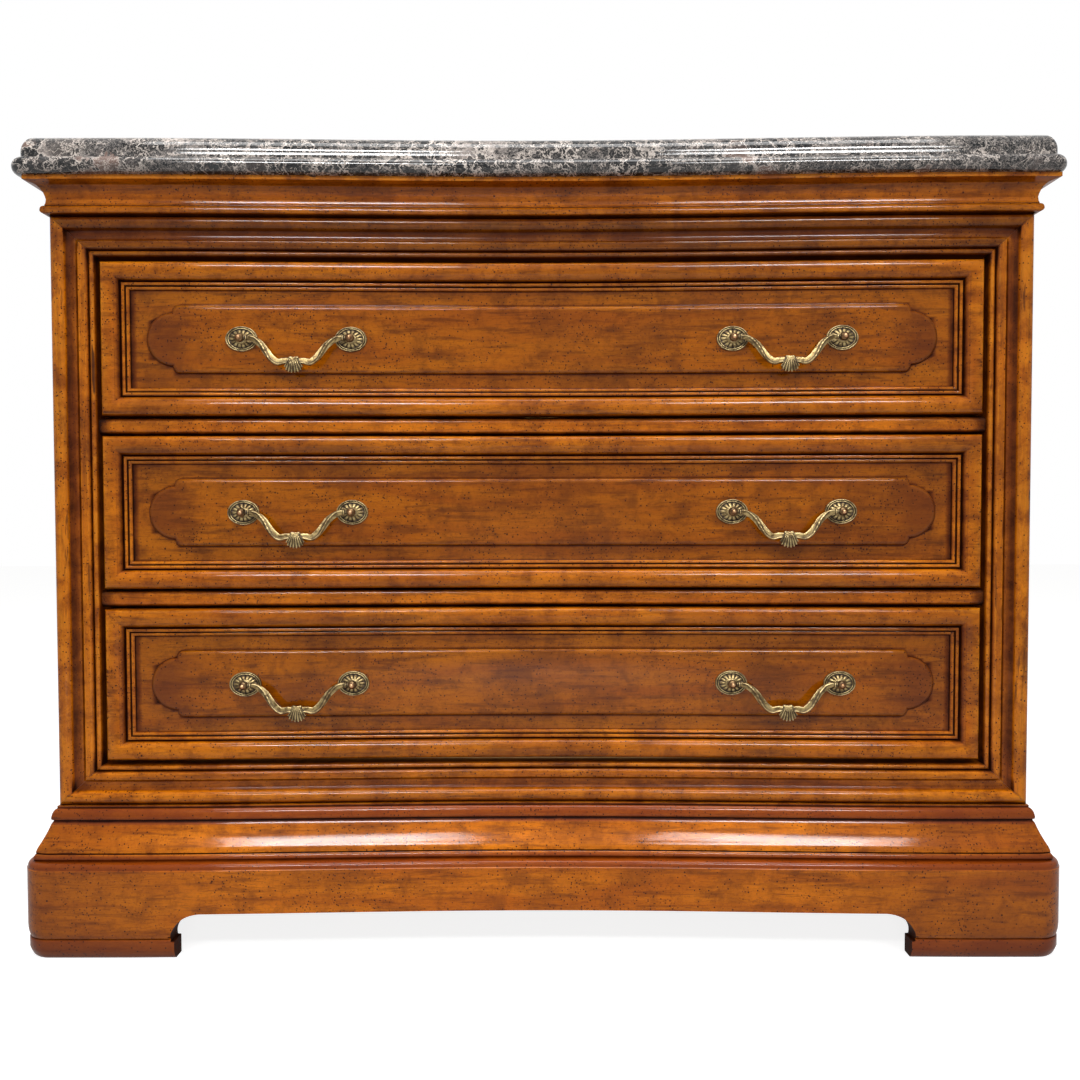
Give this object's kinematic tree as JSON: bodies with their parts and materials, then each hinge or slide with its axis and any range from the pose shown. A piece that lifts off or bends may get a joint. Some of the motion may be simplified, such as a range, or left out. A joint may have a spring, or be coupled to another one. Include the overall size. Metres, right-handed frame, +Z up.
{
  "type": "commode chest",
  "caption": "Marble-topped chest with sliding drawers in a moulded frame, swinging bail pulls and bracket feet under a hollowed front.",
  "frame": {"origin": "on the floor under the middle of the chest's box", "axes": "+X to the right as seen from the front, +Y towards the back, +Z up"},
  "size_m": [1.118, 0.508, 0.876],
  "materials": {
    "lacquered_wood": "glossy amber lacquer over fruitwood",
    "inside_wood": "bare secondary wood",
    "brass": "antique patina",
    "marble": "polished breccia"
  },
  "bodies": {
    "case": {"marble_top": "marble", "cornice_front": "lacquered_wood", "cornice_left": "lacquered_wood", "cornice_right": "lacquered_wood", "base_moulding_front": "lacquered_wood", "base_moulding_left": "lacquered_wood", "base_moulding_right": "lacquered_wood", "plinth_front": "lacquered_wood", "plinth_left": "lacquered_wood", "plinth_right": "lacquered_wood", "plinth_back": "inside_wood", "frame_top_rail": "lacquered_wood", "frame_bottom_rail": "lacquered_wood", "frame_stile_left": "lacquered_wood", "frame_stile_right": "lacquered_wood", "case_side_left": "lacquered_wood", "case_side_right": "lacquered_wood", "case_top_panel": "inside_wood", "case_bottom_panel": "inside_wood", "case_back_panel": "inside_wood", "drawer_rail_1": "lacquered_wood", "dust_panel_1": "inside_wood", "drawer_rail_2": "lacquered_wood", "dust_panel_2": "inside_wood"},
    "drawer_1": {"drawer_1_side_left": "inside_wood", "drawer_1_side_right": "inside_wood", "drawer_1_bottom": "inside_wood", "drawer_1_back": "inside_wood", "drawer_1_left_post_left": "brass", "drawer_1_left_post_right": "brass", "drawer_1_right_post_left": "brass", "drawer_1_right_post_right": "brass", "drawer_1_front": "lacquered_wood", "drawer_1_moulding": "lacquered_wood"},
    "bail_1_left": {"drawer_1_left_bail": "brass"},
    "bail_1_right": {"drawer_1_right_bail": "brass"},
    "drawer_2": {"drawer_2_side_left": "inside_wood", "drawer_2_side_right": "inside_wood", "drawer_2_bottom": "inside_wood", "drawer_2_back": "inside_wood", "drawer_2_left_post_left": "brass", "drawer_2_left_post_right": "brass", "drawer_2_right_post_left": "brass", "drawer_2_right_post_right": "brass", "drawer_2_front": "lacquered_wood", "drawer_2_moulding": "lacquered_wood"},
    "bail_2_left": {"drawer_2_left_bail": "brass"},
    "bail_2_right": {"drawer_2_right_bail": "brass"},
    "drawer_3": {"drawer_3_side_left": "inside_wood", "drawer_3_side_right": "inside_wood", "drawer_3_bottom": "inside_wood", "drawer_3_back": "inside_wood", "drawer_3_left_post_left": "brass", "drawer_3_left_post_right": "brass", "drawer_3_right_post_left": "brass", "drawer_3_right_post_right": "brass", "drawer_3_front": "lacquered_wood", "drawer_3_moulding": "lacquered_wood"},
    "bail_3_left": {"drawer_3_left_bail": "brass"},
    "bail_3_right": {"drawer_3_right_bail": "brass"}
  },
  "joints": [
    {"name": "drawer_1_slide", "type": "slide", "parent": "case", "child": "drawer_1", "axis": [0, -1, 0], "range_m": [0, 0.36]},
    {"name": "bail_1_left_swing", "type": "hinge", "parent": "drawer_1", "child": "bail_1_left", "pos_m": [-0.2666, -0.21727, 0.66535], "axis": [-0.9993, -0.0377, 0], "range_deg": [0, 85]},
    {"name": "bail_1_right_swing", "type": "hinge", "parent": "drawer_1", "child": "bail_1_right", "pos_m": [0.2666, -0.21727, 0.66535], "axis": [-0.9993, 0.0377, 0], "range_deg": [0, 85]},
    {"name": "drawer_2_slide", "type": "slide", "parent": "case", "child": "drawer_2", "axis": [0, -1, 0], "range_m": [0, 0.36]},
    {"name": "bail_2_left_swing", "type": "hinge", "parent": "drawer_2", "child": "bail_2_left", "pos_m": [-0.2666, -0.21727, 0.47695], "axis": [-0.9993, -0.0377, 0], "range_deg": [0, 85]},
    {"name": "bail_2_right_swing", "type": "hinge", "parent": "drawer_2", "child": "bail_2_right", "pos_m": [0.2666, -0.21727, 0.47695], "axis": [-0.9993, 0.0377, 0], "range_deg": [0, 85]},
    {"name": "drawer_3_slide", "type": "slide", "parent": "case", "child": "drawer_3", "axis": [0, -1, 0], "range_m": [0, 0.36]},
    {"name": "bail_3_left_swing", "type": "hinge", "parent": "drawer_3", "child": "bail_3_left", "pos_m": [-0.2666, -0.21727, 0.28855], "axis": [-0.9993, -0.0377, 0], "range_deg": [0, 85]},
    {"name": "bail_3_right_swing", "type": "hinge", "parent": "drawer_3", "child": "bail_3_right", "pos_m": [0.2666, -0.21727, 0.28855], "axis": [-0.9993, 0.0377, 0], "range_deg": [0, 85]}
  ]
}
